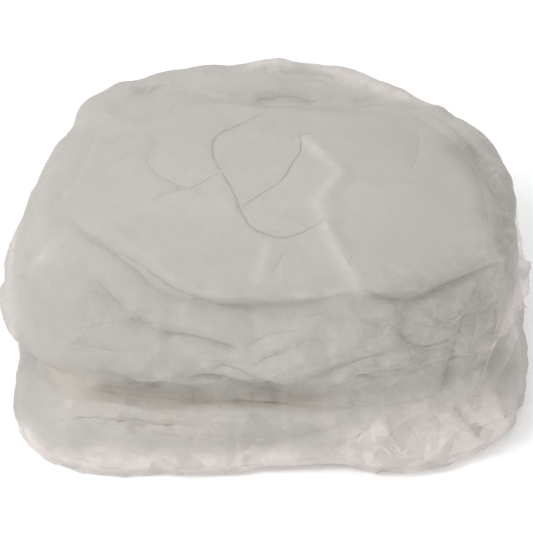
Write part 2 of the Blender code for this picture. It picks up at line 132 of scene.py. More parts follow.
# Smaller folds and creases, placed by pixels of the photo, in mm. A path runs from left to right, above is
# the side of smaller y. The fifth column: how much painted shade, tinted yellow-green, darkens the line;
# crisp: how much it is a sharp thread-like line.
lineColumns = ("name", "depth", "above", "below", "lineShade", "crisp", "path")
lines = (
    ("loopLeft", 0.8, 1.4, 1.4, 1, 1, ((265, 112), (240, 124), (217, 135), (213, 150), (218, 165),
        (232, 188), (240, 208), (250, 225), (265, 233), (282, 237), (300, 233), (318, 225), (328, 217))),
    ("loopRight", 0.6, 1.4, 1.4, 0.7, 0.8, ((240, 208), (262, 193), (280, 182), (293, 163), (301, 150),
        (301, 138), (296, 135), (315, 133))),
    ("wavyLeft", 0.9, 2, 3, 0.3, 0.6, ((147, 133), (152, 143), (147, 160), (155, 172), (170, 180),
        (187, 186), (205, 180), (225, 168))),
    ("smallCrease", 0.8, 2, 3, 0.3, 0.25, ((150, 200), (158, 196), (172, 190), (188, 187), (200, 189),
        (199, 195))),
    ("leftCrease", 0.7, 3, 3, 0.2, -0.15, ((128, 232), (150, 222), (168, 213))),
    ("lobeRidge", -1.3, 1.8, 9, 0, 0.15, ((312, 138), (325, 155), (343, 173), (333, 185), (323, 200),
        (325, 212), (328, 225), (340, 250), (352, 270), (362, 285))),
    ("lobeLine", -0.6, 2.5, 2.5, 0, 0, ((330, 213), (355, 217), (380, 217), (415, 214))),
    ("lobeFold", 0.8, 3.5, 3, 0.1, 0, ((411, 172), (416, 156), (419, 140), (415, 125))),
    ("lobeLineB", 0.5, 2.5, 2.5, 0, -0.2, ((350, 175), (362, 160), (373, 148), (380, 143))),
    ("crownWave", 0.7, 2, 3, 0.1, 0.1, ((97, 170), (108, 164), (120, 158), (136, 150))),
    ("crownWaveHigh", 0.7, 2.5, 3, 0.1, -0.15, ((104, 142), (116, 138), (128, 134), (137, 131))),
    ("crownShadow", 0.6, 3, 4, 0, 0.1, ((270, 280), (276, 268), (284, 254))),
    ("rightSweepA", 1.4, 1.6, 4, 0.1, 0.35, ((400, 108), (430, 122), (455, 140), (475, 168), (486, 200),
        (492, 240))),
    ("rightSweepB", 1, 1.5, 3, 0, 0.35, ((430, 112), (455, 128), (478, 150), (495, 180), (503, 215))),
    ("streakA", -0.5, 2, 5, 0, -0.25, ((273, 240), (266, 262), (258, 280))),
    ("streakB", -0.6, 2, 5, 0, -0.25, ((282, 240), (284, 262), (284, 290))),
    ("streakC", -0.5, 2, 5, 0, -0.25, ((290, 243), (300, 262), (306, 282))),
    ("ridgeTopLeft", -0.8, 4, 2, 0, 0.1, ((98, 100), (112, 116), (125, 123), (147, 123), (165, 117),
        (187, 108), (203, 108))),
    ("leftStreakA", -1, 2, 4, 0, 0.1, ((62, 208), (80, 182), (92, 160), (99, 135))),
    ("leftStreakB", 1.2, 4, 5, 0.1, -0.1, ((42, 205), (62, 190), (80, 168), (90, 145), (98, 112))),
    ("backEye", 3, 1.2, 3.5, 0.8, 0.7, ((250, 100), (266, 96), (282, 94), (296, 95), (308, 98),
        (320, 102))),
    ("backFlapEdge", -2.2, 3, 2.5, 0, 0, ((240, 80), (247, 73), (258, 68), (280, 66), (302, 68), (322, 73),
        (346, 81))),
    ("backEyeLow", 1.6, 1.2, 3.5, 0.4, 0.4, ((345, 101), (360, 100), (373, 97), (388, 92), (403, 87))),
    ("backRidge", -1.2, 1.6, 3, 0, 0.35, ((225, 104), (262, 108), (300, 109), (345, 109), (400, 107),
        (420, 110))),
    ("backLineA", 0.9, 1.5, 3, 0.1, 0.35, ((130, 92), (165, 90), (200, 93), (232, 98))),
    ("backLineB", -0.9, 1.5, 3, 0, 0.35, ((140, 84), (180, 86), (215, 91), (240, 97))),
    ("backLineC", 0.9, 1.5, 3, 0.1, 0.35, ((270, 72), (310, 74), (350, 82), (395, 96))),
    ("crownEdge", 1.9, 1.5, 6, 0.5, 0.45, ((63, 212), (88, 232), (110, 247), (130, 256), (150, 270),
        (170, 284), (190, 293), (213, 302), (240, 304), (287, 302), (330, 296), (362, 292))),
    ("leftDiagonalRidge", -0.9, 3, 2, 0, 0.35, ((58, 225), (80, 244), (103, 257), (135, 272))),
    ("lowLeft", 1.5, 1.5, 5, 0.5, 0.35, ((93, 277), (105, 290), (117, 303), (130, 317), (145, 323),
        (158, 323))),
    ("vLeft", 2.2, 1.5, 5, 0.7, 0.6, ((158, 331), (180, 334), (210, 341), (242, 351))),
    ("vRight", 0.9, 1.5, 2.5, 0.3, 0.35, ((242, 351), (258, 341), (272, 334), (300, 331))),
    ("puffLineB", -0.9, 1.5, 3, 0, 0.35, ((55, 345), (75, 341), (92, 326), (115, 321), (140, 317))),
    ("puffLineC", -1.2, 2, 3, 0, 0.1, ((175, 362), (200, 352), (230, 357), (262, 350), (300, 347),
        (340, 337))),
    ("puffLineD", 0.9, 1.5, 3, 0.2, 0.35, ((300, 318), (330, 314), (365, 322), (392, 330))),
    ("puffLineE", 0.8, 1.5, 3, 0.2, 0.35, ((285, 343), (320, 340), (350, 343), (380, 335))),
    ("lobeFoot", 1.4, 1.5, 3.5, 0.6, 0.5, ((362, 289), (382, 296), (402, 299), (418, 297), (440, 286),
        (462, 277), (482, 268), (500, 262))),
    ("ovalLow", 1.5, 3, 1.6, 0.7, 0.5, ((396, 322), (402, 335), (411, 343), (425, 347), (441, 345),
        (456, 336), (466, 325))),
    ("ovalHigh", 0.8, 1.5, 2.5, 0.3, 0.1, ((398, 318), (409, 309), (430, 301))),
    ("ovalShade", 1, 2, 3, 0.5, 0.35, ((418, 360), (437, 353), (455, 345), (470, 340))),
    ("creaseLobeA", 2, 2.5, 4, 0.6, 0.5, ((92, 385), (112, 387), (140, 390), (160, 384), (185, 390),
        (215, 396))),
    ("creaseLobeB", 2.2, 4, 2.5, 0.6, 0.5, ((175, 382), (205, 378), (235, 384), (262, 390), (300, 396),
        (335, 394))),
    ("creaseRidge", -1.1, 1.6, 3, 0, 0.35, ((120, 377), (150, 380), (175, 372), (200, 369), (225, 362))),
    ("creaseLow", 1, 1.5, 3, 1, 0.5, ((85, 389), (120, 393), (160, 397), (200, 400), (257, 401),
        (300, 404))),
    ("creaseLowRight", 0.6, 2, 3, 0.1, 0.2, ((345, 399), (385, 403), (425, 398), (455, 388))),
    ("creaseBelow", 0.7, 1.2, 3, 0.5, 0.4, ((150, 405), (200, 407), (250, 408), (300, 410), (350, 411))),
    ("leftFootEdge", -1.4, 1.2, 4, 0, 0.4, ((38, 428), (55, 444), (75, 455), (100, 463), (128, 467))),
    ("footEdge", -1.2, 1.2, 4, 0, 0.3, ((150, 467), (200, 465), (250, 462), (300, 457), (335, 452),
        (372, 458))),
    ("rollLineA", -1.2, 1.6, 3, 0, 0.1, ((40, 402), (70, 399), (110, 402), (150, 410), (190, 416),
        (250, 414), (320, 415))),
    ("rollLineB", 0.7, 1.5, 3, 0.1, 0.35, ((45, 425), (80, 418), (110, 420), (140, 427), (175, 424),
        (205, 428))),
    ("rollLineC", -0.8, 1.6, 4, 0, 0.35, ((110, 440), (145, 431), (180, 436), (230, 446))),
    ("rollLineD", 0.8, 2, 3, 0.1, 0.35, ((240, 440), (262, 432), (290, 437), (330, 430), (370, 436))),
    ("rightDownA", -1.6, 1.6, 3, 0, 0.35, ((452, 402), (459, 378), (466, 350), (473, 320), (481, 290))),
    ("rightDownB", 1.4, 1.6, 3, 0.3, 0.35, ((441, 395), (448, 372), (456, 350), (463, 326), (470, 302))),
    ("rightDownC", -1.4, 1.6, 3, 0, 0.35, ((470, 405), (478, 378), (486, 350), (492, 320), (496, 295))),
    ("rightDownD", 1.3, 1.6, 3, 0.1, 0.35, ((484, 400), (492, 372), (499, 345), (505, 315), (508, 285))),
    ("triangleA", 1.2, 1.6, 2, 0.3, 0.35, ((478, 288), (481, 302), (480, 315), (492, 306), (498, 296))),
    ("flapA", -1.8, 1.5, 3.5, 0, 0.35, ((330, 385), (345, 376), (362, 366), (380, 362))),
    ("flapB", 1.2, 1.6, 2.5, 0.2, 0.35, ((345, 372), (372, 380), (400, 377), (425, 370))),
    ("cornerA", -2.6, 1.6, 3, 0, 0.1, ((446, 404), (455, 413), (466, 426), (479, 440))),
    ("cornerB", -1.6, 1.5, 2.5, 0, 0.1, ((377, 418), (390, 432), (401, 447), (415, 455))),
    ("cornerC", 0.6, 1.5, 2.5, 0, 0.35, ((432, 412), (440, 425), (439, 440), (437, 455))),
    ("cornerD", 0.6, 1.5, 2.5, 0, 0.3, ((405, 425), (417, 437), (425, 452))),
    ("cornerE", -1.3, 1.5, 2.5, 0, 0.1, ((470, 432), (485, 424), (498, 420), (512, 412))),
    ("cornerF", -0.8, 1.5, 2.5, 0, 0.3, ((350, 433), (370, 437), (385, 445), (396, 457))),
    ("cornerG", -1.2, 1.5, 2.5, 0, 0.35, ((420, 420), (445, 417), (465, 411), (487, 407))),
    ("slantA", 1.4, 1.2, 4, 0.3, 0.45, ((250, 368), (262, 361), (277, 354), (298, 346), (320, 342),
        (341, 341))),
    ("slantB", 1.8, 1.2, 4, 0.3, 0.5, ((288, 394), (309, 381), (325, 374), (341, 368), (373, 357),
        (405, 349))),
    ("slantC", 1.6, 1.2, 3.5, 0.2, 0.45, ((320, 397), (332, 390), (346, 384), (365, 377), (384, 373),
        (416, 368))),
    ("slantD", -0.9, 1.2, 3, 0, 0.3, ((262, 381), (280, 372), (300, 362), (322, 356), (345, 353))),
    ("slantE", 0.9, 1, 3, 0.1, 0.4, ((300, 372), (318, 364), (338, 358), (360, 349), (382, 343))),
    ("lobeEdge", 1.6, 3, 2.5, 0.4, 0.3, ((208, 373), (224, 368), (240, 373), (250, 379), (261, 384),
        (275, 391), (288, 397))),
    ("lobeDark", 1.8, 1.8, 3.5, 0.5, 0.4, ((117, 377), (133, 381), (150, 387), (165, 392), (192, 397),
        (224, 399))),
    ("lobeRise", -1.2, 1.5, 3, 0, 0.2, ((165, 373), (176, 378), (187, 381), (205, 382), (224, 381))),
    ("puffSag", 1.2, 3, 5, 0.1, 0.2, ((69, 341), (85, 346), (101, 349), (115, 352), (128, 352), (145, 350),
        (160, 346))),
    ("rollDarkA", 1, 1.2, 3.5, 0.2, 0.4, ((107, 426), (122, 422), (139, 421), (150, 424), (160, 426),
        (170, 426), (181, 424))),
    ("rollDarkB", 1, 1.2, 4, 0.1, 0.3, ((181, 442), (200, 438), (224, 437), (240, 441), (256, 445),
        (278, 443), (298, 440))),
    ("rollRight", 0.6, 1.2, 4, 0.1, 0.25, ((341, 405), (357, 409), (373, 410), (390, 407), (405, 402),
        (425, 397), (448, 394))),
    ("cornerLong", -0.9, 1.2, 3.5, 0, 0.4, ((373, 464), (376, 450), (384, 437), (394, 428), (405, 421),
        (426, 410))),
    ("cornerShort", 0.6, 1.2, 2.5, 0, 0.4, ((426, 436), (427, 445), (424, 455), (421, 463))),
    ("rightLongA", 1.4, 1.2, 4, 0.1, 0.5, ((469, 410), (477, 392), (485, 373), (494, 354), (501, 336),
        (504, 318), (504, 299))),
    ("rightLongB", -1.3, 1.2, 4, 0, 0.4, ((442, 405), (453, 389), (464, 373), (473, 357), (480, 341),
        (488, 325), (496, 309))),
    ("rightCross", 1.2, 1.2, 3.5, 0.1, 0.5, ((405, 384), (415, 375), (426, 368), (440, 364), (453, 362),
        (467, 355), (480, 346))),
    ("rightWebA", -0.8, 1.5, 2.5, 0, 0, ((412, 300), (425, 312), (440, 322), (452, 334), (460, 348))),
    ("rightWebB", 0.8, 1.5, 2.5, 0.1, 0, ((396, 312), (410, 320), (428, 326), (447, 326), (466, 318),
        (480, 306))),
    ("rightWebC", -1, 1, 2.5, 0, 0.4, ((478, 275), (474, 292), (466, 306), (454, 318), (444, 332))),
    ("rightWebD", 0.9, 1, 2.5, 0.1, 0.4, ((385, 318), (398, 330), (408, 344), (416, 360), (430, 372))),
    ("backLong", 1, 1.2, 4, 0.2, 0.4, ((133, 91), (155, 87), (176, 85), (200, 92), (224, 99), (256, 99))),
    ("backFlap", 1.2, 1.2, 4, 0.1, 0.4, ((256, 69), (272, 76), (288, 80), (304, 80), (320, 80), (336, 83),
        (352, 88), (373, 96))),
    ("crownBack", -1, 1.2, 4, 0, 0.2, ((123, 120), (140, 118), (155, 115), (176, 107), (213, 104),
        (240, 104))),
    ("cornerH", 0.6, 1.5, 2.5, 0, 0.3, ((330, 447), (352, 441), (372, 427), (382, 412))),
)

crumples = {
    "grid": 301,  # points each way over the flat cloth
    "seed": 7,
    "bendRadius": 0.15,  # at which a fold is as long as it says, in metres
    "facetRadius": 0.16,
    # soft folds: hoop and down are mm from one to the next, slant: how much they climb, depth in mm
    "bendColumns": ("hoop", "down", "slant", "depth", "crown", "front", "right", "back"),
    "bends": (
        (70, 13, 0.5, 1.5, 0.0, 1.0, 0.2, 1.0),
        (45, 8, -0.9, 0.9, 0.1, 1.0, 0.4, 1.0),
        (30, 6, 0.4, 0.6, 0.1, 1.0, 0.3, 1.0),
        (16, 45, 0.8, 0.8, 0.0, 0.0, 1.0, 0.2),
        (10, 30, -0.7, 0.6, 0.0, 0.1, 1.0, 0.3),
        (55, 40, 0.6, 1.0, 0.1, 0.2, 0.2, 0.2),
    ),
    "facetColumns": ("name", "hoop", "down", "height", "crown", "front", "right", "back"),
    "facets": (
        ("broad", 30, 26, 1.5, 0.30, 0.9, 0.7, 1.0),
        ("slanting", 17, 13, 0.8, 0.35, 0.9, 0.9, 0.9),
        ("lying", 40, 9, 0.9, 0.15, 1.1, 0.3, 1.1),
        ("standing", 10, 32, 0.7, 0.10, 0.2, 1.1, 0.4),
        ("fine", 8, 7, 0.32, 0.40, 0.8, 1.1, 0.8),
    ),
}

# Rings of the grid that follow a fold, so that it is crisp. run: level in each direction
edges = (
    {
        "ring": 54,
        "run": ((0, 3), (30, 2.5), (90, 2.5), (150, 2.3), (180, 2.1), (190, 1.98), (203, 1.81),
                *foldPaths["underCrownEdge"][2:11], *foldPaths["lobeFootFold"][2:9]),
    },
)

# Thin folds that stand out along a ring of the grid. run and height: level and mm in each direction.
# Shares of the height: uneven is how much it varies, droop how much the edge hangs, pull how far the cloth
# beside it goes in.
# flare: rings over which the cloth above slopes out to it.
veils = (
    {
        "ring": 80, "uneven": 0.7, "droop": -0.2, "pull": 0.55, "flare": 2,
        "run": ((0, 4.6), (45, 4.4), (90, 4.6), (150, 4.5), (190, 4.5), (230, 4.9), (270, 5), (310, 4.9),
                (340, 5)),
        "height": ((0, 5), (20, 4), (50, 3), (90, 1.5), (150, 1), (180, 0.5), (200, 1.5), (215, 0), (300, 0),
                   (318, 1), (335, 4)),
    },
    {
        "ring": 102, "uneven": 0.8, "droop": 0.0, "pull": 0.6, "flare": 2,
        "run": ((0, 6.9), (200, 6.9), *foldPaths["deepCrease"][1:9], (308, 6.74), (330, 6.9)),
        "height": ((0, 6), (15, 5), (40, 1), (90, 0), (180, 0), (318, 0), (335, 5)),
    },
    {
        "ring": 128, "uneven": 0.6, "droop": 0.0, "pull": 0.35, "flare": 8,
        "run": ((0, 8.75), (30, 8.6), (60, 8.8), (200, 8.6), (225, 8.75), (250, 8.65), (270, 8.85),
                (300, 8.6), (325, 8.5)),
        "height": ((0, 4), (40, 4), (90, 3), (150, 4), (180, 1), (205, 1), (220, 4.5), (232, 5), (246, 3.5),
                   (262, 4), (276, 1), (288, 1), (298, 5), (308, 6), (320, 1), (335, 0.5)),
    },
)
rimRing = crumples["grid"] // 2  # number of the grid's last ring

# Parts of the cloth marked along pixels of the photo: painted light where thin cloth is lit from behind and
# on lit ridges and edges, thinner cloth, painted shade on sides turned from the light and in creases, and
# stains.
# reach: how far a part goes to each side of its path, in mm
patchColumns = ("name", "strength", "reach", "path")
linePaths = {row[0]: row[-1] for row in lines}
patches = {
    # painted light: thin margins lit from behind, and highlights on lit ridges, edges and the crown
    "paintedLight": (
        ("corner", 1, 17, ((385, 450), (420, 448), (455, 440), (492, 425))),
        ("leftFoot", 1, 6, ((26, 436), (45, 455), (75, 463), (110, 467))),
        ("foot", 1, 10, ((100, 466), (170, 468), (230, 467), (300, 464), (370, 462), (420, 462))),
        ("roll", 0.5, 12, ((350, 440), (390, 432), (430, 415))),
        ("front", 0.3, 13, ((70, 412), (150, 420), (250, 426), (330, 420))),
        ("crown", 0.07, 36, ((180, 180), (240, 210), (300, 180), (370, 200))),
        ("lobe", 0.3, 4, ((305, 140), (320, 155), (338, 172), (328, 186), (318, 200), (321, 213), (325, 226),
            (337, 252), (349, 272), (356, 286))),
        ("lip", 0.2, 3, ((300, 296), (330, 291), (355, 286))),
        ("streak", 0.2, 3, ((266, 244), (262, 262), (256, 280))),
        ("top", 0.5, 5, ((240, 64), (290, 62), (330, 70), (380, 86), (430, 104))),
        ("left", 0.4, 4, ((16, 225), (10, 265), (8, 300), (12, 330))),
    ),
    "thin": (
        ("right", 0.6, 6, ((500, 390), (512, 350), (514, 300), (508, 262))),
    ),
    # painted shade: the right side turned from the key light, and creases, hollows and the shade under edges
    "dim": (
        ("right", 1.25, 15, ((470, 150), (495, 180), (506, 220), (508, 262))),
        ("upperRight", 0.24, 26, ((400, 130), (430, 170), (440, 215), (430, 250))),
        ("puffRight", 0.45, 13, ((420, 302), (455, 298), (485, 300), (505, 300))),
        ("crease", 0.4, 5, ((105, 388), (150, 392), (210, 394), (300, 398))),
        ("back", 0.3, 6, ((235, 96), (290, 92), (330, 96), (380, 100))),
        ("eye", 0.75, 2.6, ((258, 96), (272, 93), (288, 93), (306, 97))),
        ("eyeRight", 0.5, 2.6, ((350, 99), (370, 97), (392, 89))),
        ("oval", 0.2, 9, ((412, 318), (430, 324), (448, 322))),
        ("low", 0.16, 12, ((380, 395), (420, 385), (450, 372))),
        ("puffFront", 0.3, 9, ((225, 318), (270, 312), (320, 308), (360, 312))),
        ("wavyLeft", 0.14, 1.8, ((150, 133), (152, 143), (147, 160), (155, 172), (170, 180), (187, 186),
            (200, 184))),
        ("smallCrease", 0.12, 1.8, linePaths["smallCrease"]),
        ("crownWave", 0.1, 2.2, linePaths["crownWave"]),
        ("crownWaveHigh", 0.1, 2.2, linePaths["crownWaveHigh"]),
        ("leftCrease", 0.08, 2.5, ((128, 232), (137, 222), (147, 214), (168, 213))),
        ("streaks", 0.1, 3, ((262, 284), (270, 274), (276, 264), (284, 250))),
        ("streaksLeft", 0.08, 4, ((206, 262), (216, 256), (228, 262), (240, 254))),
        ("lobeFold", 0.12, 2.5, linePaths["lobeFold"]),
        ("lobeBlot", 0.1, 8, ((340, 150), (360, 148), (372, 152))),
    ),
    # painted shade, tinted yellow-green, in creases and under an edge
    "creaseShade": (
        ("eye", 0.6, 2.2, ((258, 97), (275, 94), (296, 96))),
        ("crease", 0.9, 5, ((110, 394), (160, 398), (220, 400), (270, 402), (330, 402))),
        ("puff", 0.5, 3, ((160, 332), (185, 336), (212, 341), (240, 349))),
        ("right", 0.5, 4, ((400, 325), (420, 346), (445, 346), (470, 330), (480, 292))),
    ),
    "peach": (
        ("left", 1, 8, ((58, 372), (70, 380), (84, 388), (96, 396))),
        ("roll", 0.9, 6, ((160, 419), (172, 422), (186, 424), (198, 426))),
    ),
}

gathers = {
    "count": 56,
    "height": 14.5 * mm,
    "lean": 2.0 * mm,
    "casingWave": 2.4 * mm,
    "rimFlare": 6.5 * mm,
    "drift": ((1.3, 3, 1), (0.9, 7, 0), (0.6, 11, 2)),  # of the pleats' spacing: size, waves, start
    "floorGap": 0.3 * mm,
}


def smoothStep(share):
    share = np.clip(share, 0, 1)
    return share * share * (3 - 2 * share)


def rowsOf(columns, rows):
    # the rows of a table, as dictionaries
    return [dict(zip(columns, row)) for row in rows]


def aroundAxis(angle, outward, up):
    return np.stack([outward * np.cos(angle), outward * np.sin(angle), up + 0 * angle], axis=-1)


def gridCorners(rows, columns):
    # numbers of the four corners of each square of a grid
    number = np.arange(rows * columns).reshape(rows, columns)
    corners = number[:-1, :-1], number[1:, :-1], number[1:, 1:], number[:-1, 1:]
    return np.stack(corners, axis=-1).reshape(-1, 4).tolist()


def levelPoints(row, angles):
    # distance from the axis and height of a level line, for many directions at once
    across, along = np.cos(angles), np.sin(angles)
    weights = {"Front": np.maximum(-along, 0) ** 2, "Right": np.maximum(across, 0) ** 2,
               "Back": np.maximum(along, 0) ** 2, "Left": np.maximum(-across, 0) ** 2}
    halfX = capForm["width"] / 2 * np.where(across > 0, row["outRight"], row["outLeft"])
    halfY = capForm["depth"] / 2 * np.where(along > 0, row["outBack"], row["outFront"])
    ahead = smoothStep(-along / 0.6)
    power = row["squareFront"] * ahead + row["squareBack"] * (1 - ahead)
    out = np.zeros(len(angles))
    if row["outFront"] > 0:
        out = (abs(across / halfX) ** power + abs(along / halfY) ** power) ** (-1 / power)
    up = capForm["height"] * sum(weights[side] * row["up" + side] for side in weights)
    return np.stack([out, up], axis=-1)


def splineThrough(points, places):
    # a smooth curve through points, where place 2.5 is half way from the third to the fourth
    ends = np.concatenate([2 * points[:1] - points[1:2], points, 2 * points[-1:] - points[-2:-1]])
    before = np.minimum(places.astype(int), len(points) - 2)
    a, b, c, d = (ends[before + k] for k in range(4))
    t = (places - before)[:, None, None]
    return b + ((c - a) * t + (2 * a - 5 * b + 4 * c - d) * t**2 + (3 * b - a - 3 * c + d) * t**3) / 2


def capSections(directions, steps):
    # the smooth cap as a table: for each direction a line of points from the crown to the rim
    angles = np.arange(directions) * 2 * math.pi / directions
    table = rowsOf(capForm["columns"], capForm["levels"])
    lines = np.array([levelPoints(row, angles) for row in table])
    dome = splineThrough(lines, np.arange(footLevel * steps) / steps)
    foot = lines[-1]
    casing = capForm["casingRadius"]
    ring = capForm["neckRadius"] + casing  # from the axis to the middle of the elastic
    share = (np.arange(steps * 3) / (steps * 3))[:, None]
    inward = foot[None, :, 0] * (1 - share) + ring * share
    gather = np.stack([inward, 0 * inward], axis=-1)
    turn = np.radians(-90 - 240 * np.linspace(0, 1, steps * 3 + 1))[:, None] + 0 * foot[None, :, 0]
    hem = np.stack([ring + casing * np.cos(turn), casing + casing * np.sin(turn)], axis=-1)
    table = np.concatenate([dome, gather, hem])
    table[..., 1] = np.maximum(table[..., 1], 0)
    levels = np.concatenate([np.arange(footLevel * steps) / steps, footLevel + share[:, 0],
                             neckLevel + np.linspace(0, 1, steps * 3 + 1)])
    return angles, levels, np.swapaxes(table, 0, 1)


class CapSurface:
    def __init__(self, directions=720, steps=12):
        self.angles, self.levels, self.table = capSections(directions, steps)
        runs = np.linalg.norm(np.diff(self.table, axis=1), axis=2)
        self.lengths = np.concatenate([np.zeros((directions, 1)), np.cumsum(runs, axis=1)], axis=1)
        self.levelAtShare = np.array([self.ringLevels(k) for k in range(directions)])

    def ringLevels(self, k):
        # levels of the grid's rings in one direction, closer together beside what follows a ring
        lengths, degrees = self.lengths[k], math.degrees(self.angles[k])
        rings, places = [0], [0.0]
        guides = edges + veils
        for guide in guides:
            level = np.interp(degrees, *zip(*guide["run"]), period=360)
            rings.append(guide["ring"])
            places.append(np.interp(level, self.levels, lengths))
        rings, places = rings + [rimRing], places + [lengths[-1]]
        gaps = np.arange(rimRing) + 0.5
        weights = 1 - 0.6 * sum(np.exp(-(((gaps - guide["ring"]) / 2.2) ** 2)) for guide in guides)
        found = [0.0]
        for first, after, start, end in zip(rings, rings[1:], places, places[1:]):
            grown = np.cumsum(weights[first:after])
            found.extend(start + (end - start) * grown / grown[-1])
        return np.interp(found, lengths, self.levels)

    def mixed(self, table, angle, place):
        # bilinear look-up; place counts in columns of the table
        turn = (angle / (2 * math.pi) % 1) * len(table)
        i = turn.astype(int) % len(table)
        j = np.clip(place.astype(int), 0, table.shape[1] - 2)
        u, v = turn - turn.astype(int), place - j
        u, v = (u[..., None], v[..., None]) if table.ndim == 3 else (u, v)
        after = (i + 1) % len(table)
        return (table[i, j] * (1 - u) * (1 - v) + table[after, j] * u * (1 - v)
                + table[i, j + 1] * (1 - u) * v + table[after, j + 1] * u * v)

    def levelOf(self, angle, share):
        return self.mixed(self.levelAtShare, angle, share * (self.levelAtShare.shape[1] - 1))

    def placeOf(self, level):
        return np.interp(level, self.levels, np.arange(len(self.levels)))

    def points(self, angle, level):
        found = self.mixed(self.table, angle, self.placeOf(level))
        return aroundAxis(angle, found[..., 0], found[..., 1])

    def runTo(self, angle, level):
        # length of cloth from the middle of the crown
        return self.mixed(self.lengths, angle, self.placeOf(level))


def flatGrid(count):
    # a square grid drawn out to the round flat cloth: direction and share of the radius of each point
    line = np.linspace(-1, 1, count)
    a, b = np.meshgrid(line, line, indexing="ij")
    wide = abs(a) > abs(b)
    with np.errstate(divide="ignore", invalid="ignore"):
        angle = np.where(wide, math.pi / 4 * b / a, math.pi / 2 - math.pi / 4 * a / b)
    angle = np.nan_to_num(angle) + np.where(np.where(wide, a, b) < 0, math.pi, 0)
    return angle % (2 * math.pi), np.maximum(abs(a), abs(b))


def outwardNormals(points):
    down = np.gradient(points, axis=0)
    over = np.gradient(points, axis=1)
    normals = np.cross(down, over)
    normals /= np.linalg.norm(normals, axis=2, keepdims=True) + 1e-12
    middle = points.shape[0] // 2
    return normals * np.sign(normals[middle, middle, 2])


def pathPoints(surface, path, count=61):
    share = np.linspace(0, 1, count)
    corners = np.linspace(0, 1, len(path))
    degrees, levels = (np.interp(share, corners, column) for column in zip(*path))
    return np.radians(degrees), levels, surface.points(np.radians(degrees), levels)


def cameraFrame():
    # the camera's place and its directions ahead and upward
    tilt = math.radians(studio["elevation"])
    ahead, upward = np.array([[0, math.cos(tilt), -math.sin(tilt)], [0, math.sin(tilt), math.cos(tilt)]])
    return np.array(studio["aim"]) - studio["distance"] * ahead, ahead, upward


def patchStrength(tree, points, patch):
    hits = [spotSeen(tree, pixel) for pixel in alongPath(patch["path"], 4.0)]
    line = np.array([hit for hit in hits if hit is not None])
    away = np.linalg.norm(points[:, :, None] - line, axis=3).min(axis=2)
    return patch["strength"] * np.exp(-((away / (patch["reach"] * mm)) ** 2))


def placesOnPhoto(points):
    # pixels of the photo at which points are seen by the camera
    eye, ahead, upward = cameraFrame()
    away = points - eye
    scale = studio["pixels"] * studio["distance"] / studio["framed"] / (away @ ahead)
    middle = studio["pixels"] / 2
    return np.stack([middle + away[..., 0] * scale, middle - away @ upward * scale], axis=-1)


def spotSeen(tree, pixel):
    # where the camera's ray through a pixel meets the cloth
    eye, ahead, upward = cameraFrame()
    size = studio["framed"] / studio["pixels"] / studio["distance"]
    over, up = pixel[0] - studio["pixels"] / 2, studio["pixels"] / 2 - pixel[1]
    ray = ahead + over * size * np.array([1, 0, 0]) + up * size * upward
    return tree.ray_cast(Vector(eye), Vector(ray))[0]


def alongPath(path, spacing):
    # evenly spread places along a bent line
    path = np.array(path, float)
    runs = np.concatenate([[0], np.cumsum(np.linalg.norm(np.diff(path, axis=0), axis=1))])
    places = np.linspace(0, runs[-1], max(int(runs[-1] / spacing), 8))
    bends = splineThrough(path[:, None], np.interp(places, runs, np.arange(len(path))))
    return bends[:, 0]


def strengthNear(points, line, side, above, below, fade, sharp):
    # 1 on a line, fading across it, with its own width on each side, and towards its ends
    reach = (4.5 if sharp else 2.6) * max(above, below)
    near = np.all((points > line.min(0) - reach) & (points < line.max(0) + reach), axis=2)
    found, gap = np.zeros(points.shape[:2]), np.full(points.shape[:2], 1.0)
    if not near.any():
        return found, gap
    chosen = points[near]
    away = np.linalg.norm(chosen[:, None] - line[None], axis=2)
    nearest = away.argmin(axis=1)
    away = away.min(axis=1)
    share = np.linspace(0, 1, len(line))
    lower = side(near, nearest) > 0
    width = np.where(lower, below, above)
    ends = smoothStep(np.minimum(share, 1 - share)[nearest] / fade)
    found[near] = ends * np.exp(-(away / width) ** (1 if sharp else 2))
    gap[near] = np.where(lower, away, -away)
    return found, gap


def foldStrength(surface, points, angle, level, fold):
    pathAngle, pathLevel, line = pathPoints(surface, fold["path"])
    outward, apart = 0.12, 0.018  # metres for a radian, and for a level

    def side(near, nearest):
        turned = (angle[near] - pathAngle[nearest] + math.pi) % (2 * math.pi) - math.pi
        lower = (level[near] - pathLevel[nearest]) * apart
        ahead = np.gradient(pathAngle)[nearest] * outward, np.gradient(pathLevel)[nearest] * apart
        return ahead[0] * lower - ahead[1] * turned * outward

    return strengthNear(points, line, side, fold["above"] * mm, fold["below"] * mm, foldFade, False)[0]


def lineStrength(tree, points, seen, row):
    # a crease placed by the photo's pixels, brought onto the cloth along the camera's view
    pixels = alongPath(row["path"], 2.0)
    hits = [spotSeen(tree, pixel) for pixel in pixels]
    kept = [k for k, hit in enumerate(hits) if hit is not None]
    if len(kept) < 4:
        return np.zeros(points.shape[:2]), np.ones(points.shape[:2])
    line, pixels = np.array([hits[k] for k in kept]), pixels[kept]
    ahead = np.gradient(pixels, axis=0)

    def side(near, nearest):
        off = seen[near] - pixels[nearest]
        return ahead[nearest, 0] * off[:, 1] - ahead[nearest, 1] * off[:, 0]

    return strengthNear(points, line, side, row["above"] * mm, row["below"] * mm, lineFade, True)


def softNoise(rng, cells):
    # smooth unevenness over the grid, with about that many bumps each way
    coarse = rng.normal(0, 1, (cells + 3, cells + 3))
    place = np.linspace(0, cells, crumples["grid"])
    i = np.minimum(place.astype(int), cells - 1)
    t = place - i
    weights = np.stack([(1 - t) ** 3, 3 * t**3 - 6 * t**2 + 4, -3 * t**3 + 3 * t**2 + 3 * t + 1, t**3]) / 6
    rows = sum(weights[k][:, None] * coarse[i + k] for k in range(4))
    return sum(weights[k][None, :] * rows[:, i + k] for k in range(4))


